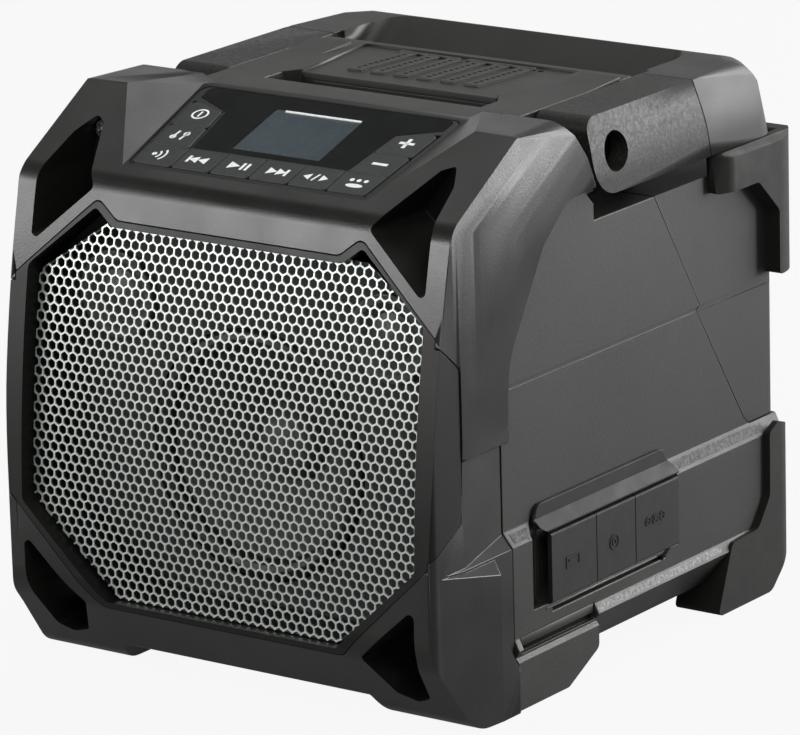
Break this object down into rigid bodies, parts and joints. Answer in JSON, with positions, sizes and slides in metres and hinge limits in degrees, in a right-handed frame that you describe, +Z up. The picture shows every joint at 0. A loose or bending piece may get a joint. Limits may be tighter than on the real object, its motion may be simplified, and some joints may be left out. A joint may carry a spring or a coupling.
{
  "type": "wireless speaker",
  "caption": "Rugged box-shaped wireless speaker with a wide perforated grille, corner guards, top control panel with screen, folding carrying handle, socket flaps and a rear battery bay",
  "frame": {"origin": "centre of the bounding box's underside, where the speaker stands on its feet", "axes": "+X is the right side seen from in front of the grille (the side with the socket flaps), +Y runs from the grille to the battery door at the rear, +Z is up"},
  "size_m": [0.195, 0.242, 0.2075],
  "materials": {
    "case_plastic": "satin, fine moulded grain",
    "bezel_plastic": "satin, fine moulded grain, broad soft sheen",
    "bumper_rubber": "matt overmoulded rubber",
    "key_rubber": "matt silicone keys with pale symbols",
    "flap_rubber": "matt moulded rubber",
    "grille_steel": "silver powder coat on perforated sheet",
    "window_gloss": "clear gloss over a black print",
    "lcd_glass": "unlit grey-blue liquid crystal screen",
    "circuit_board": "green solder mask on glass-fibre board",
    "switch_plastic": "moulded switch bodies with small stems",
    "screw_steel": "blackened screw steel, worn bright",
    "socket_metal": "nickel-plated shell",
    "terminal_plastic": "black glass-filled terminal block",
    "magnet_ferrite": "dark ferrite ring",
    "basket_steel": "black coated pressed steel",
    "cone_paper": "black pressed paper cone",
    "sink_aluminium": "extruded fins",
    "inner_plastic": "black structural plastic"
  },
  "bodies": {
    "case": {"front_bezel": "bezel_plastic", "grille_frame": "bezel_plastic", "grille": "grille_steel", "front_housing": "case_plastic", "rear_housing": "case_plastic", "top_cover": "case_plastic", "top_lid": "case_plastic", "control_panel": "case_plastic", "display_window": "window_gloss", "lcd_module": "lcd_glass", "control_board": "circuit_board", "key_switches": "switch_plastic", "handle_pivots": "screw_steel", "bumper_upper_right": "bumper_rubber", "bumper_upper_left": "bumper_rubber", "bumper_lower_right": "bumper_rubber", "bumper_lower_left": "bumper_rubber", "port_cover": "flap_rubber", "usb_socket": "socket_metal", "aux_socket": "socket_metal", "dc_socket": "socket_metal", "port_board": "circuit_board", "door_hinge_pin": "screw_steel", "battery_bay": "inner_plastic", "battery_terminals": "terminal_plastic", "main_board": "circuit_board", "heat_sink": "sink_aluminium", "speaker_baffle": "inner_plastic", "woofer_basket": "basket_steel", "woofer_magnet": "magnet_ferrite", "woofer_surround": "bumper_rubber", "tweeter_left": "inner_plastic", "tweeter_right": "inner_plastic", "front_feet": "bumper_rubber", "bezel_screws": "screw_steel"},
    "handle": {"handle_grip": "case_plastic", "handle_arm_right": "case_plastic", "handle_arm_left": "case_plastic"},
    "flap_usb": {"flap_usb": "flap_rubber"},
    "flap_aux": {"flap_aux": "flap_rubber"},
    "flap_dc": {"flap_dc": "flap_rubber"},
    "battery_door": {"battery_door": "case_plastic"},
    "door_latch": {"door_latch": "case_plastic"},
    "woofer_cone": {"woofer_cone": "cone_paper"},
    "button_pairing": {"button_pairing": "key_rubber"},
    "button_previous": {"button_previous": "key_rubber"},
    "button_play": {"button_play": "key_rubber"},
    "button_next": {"button_next": "key_rubber"},
    "button_channel": {"button_channel": "key_rubber"},
    "button_group": {"button_group": "key_rubber"},
    "button_minus": {"button_minus": "key_rubber"},
    "button_plus": {"button_plus": "key_rubber"},
    "button_equalizer": {"button_equalizer": "key_rubber"},
    "button_power": {"button_power": "key_rubber"}
  },
  "joints": [
    {"name": "handle_swing", "type": "hinge", "parent": "case", "child": "handle", "pos_m": [0, -0.0017, 0.1896], "axis": [1, 0, 0], "range_deg": [0, 95]},
    {"name": "battery_door_swing", "type": "hinge", "parent": "case", "child": "battery_door", "pos_m": [0, 0.1114, 0.029], "axis": [-1, 0, 0], "range_deg": [0, 95]},
    {"name": "door_latch_swing", "type": "hinge", "parent": "battery_door", "child": "door_latch", "pos_m": [0, 0.1125, 0.138], "axis": [-1, 0, 0], "range_deg": [0, 30]},
    {"name": "woofer_cone_stroke", "type": "slide", "parent": "case", "child": "woofer_cone", "axis": [0, 1, 0], "range_m": [-0.003, 0.003], "stiffness_N_per_m": 1500},
    {"name": "flap_usb_swing", "type": "hinge", "parent": "case", "child": "flap_usb", "pos_m": [0.0958, -0.0356, 0.061], "axis": [0, -1, 0], "range_deg": [0, 110]},
    {"name": "flap_aux_swing", "type": "hinge", "parent": "case", "child": "flap_aux", "pos_m": [0.0958, -0.0086, 0.061], "axis": [0, -1, 0], "range_deg": [0, 110]},
    {"name": "flap_dc_swing", "type": "hinge", "parent": "case", "child": "flap_dc", "pos_m": [0.0958, 0.0185, 0.061], "axis": [0, -1, 0], "range_deg": [0, 110]},
    {"name": "button_pairing_press", "type": "slide", "parent": "case", "child": "button_pairing", "axis": [0, 0.3057, -0.9521], "range_m": [0, 0.0008], "stiffness_N_per_m": 1500},
    {"name": "button_previous_press", "type": "slide", "parent": "case", "child": "button_previous", "axis": [0, 0.3057, -0.9521], "range_m": [0, 0.0008], "stiffness_N_per_m": 1500},
    {"name": "button_play_press", "type": "slide", "parent": "case", "child": "button_play", "axis": [0, 0.3057, -0.9521], "range_m": [0, 0.0008], "stiffness_N_per_m": 1500},
    {"name": "button_next_press", "type": "slide", "parent": "case", "child": "button_next", "axis": [0, 0.3057, -0.9521], "range_m": [0, 0.0008], "stiffness_N_per_m": 1500},
    {"name": "button_channel_press", "type": "slide", "parent": "case", "child": "button_channel", "axis": [0, 0.3057, -0.9521], "range_m": [0, 0.0008], "stiffness_N_per_m": 1500},
    {"name": "button_group_press", "type": "slide", "parent": "case", "child": "button_group", "axis": [0, 0.3057, -0.9521], "range_m": [0, 0.0008], "stiffness_N_per_m": 1500},
    {"name": "button_minus_press", "type": "slide", "parent": "case", "child": "button_minus", "axis": [0, 0.3057, -0.9521], "range_m": [0, 0.0008], "stiffness_N_per_m": 1500},
    {"name": "button_plus_press", "type": "slide", "parent": "case", "child": "button_plus", "axis": [0, 0.3057, -0.9521], "range_m": [0, 0.0008], "stiffness_N_per_m": 1500},
    {"name": "button_equalizer_press", "type": "slide", "parent": "case", "child": "button_equalizer", "axis": [0, 0.3057, -0.9521], "range_m": [0, 0.0008], "stiffness_N_per_m": 1500},
    {"name": "button_power_press", "type": "slide", "parent": "case", "child": "button_power", "axis": [0, 0.3057, -0.9521], "range_m": [0, 0.0008], "stiffness_N_per_m": 1500}
  ]
}
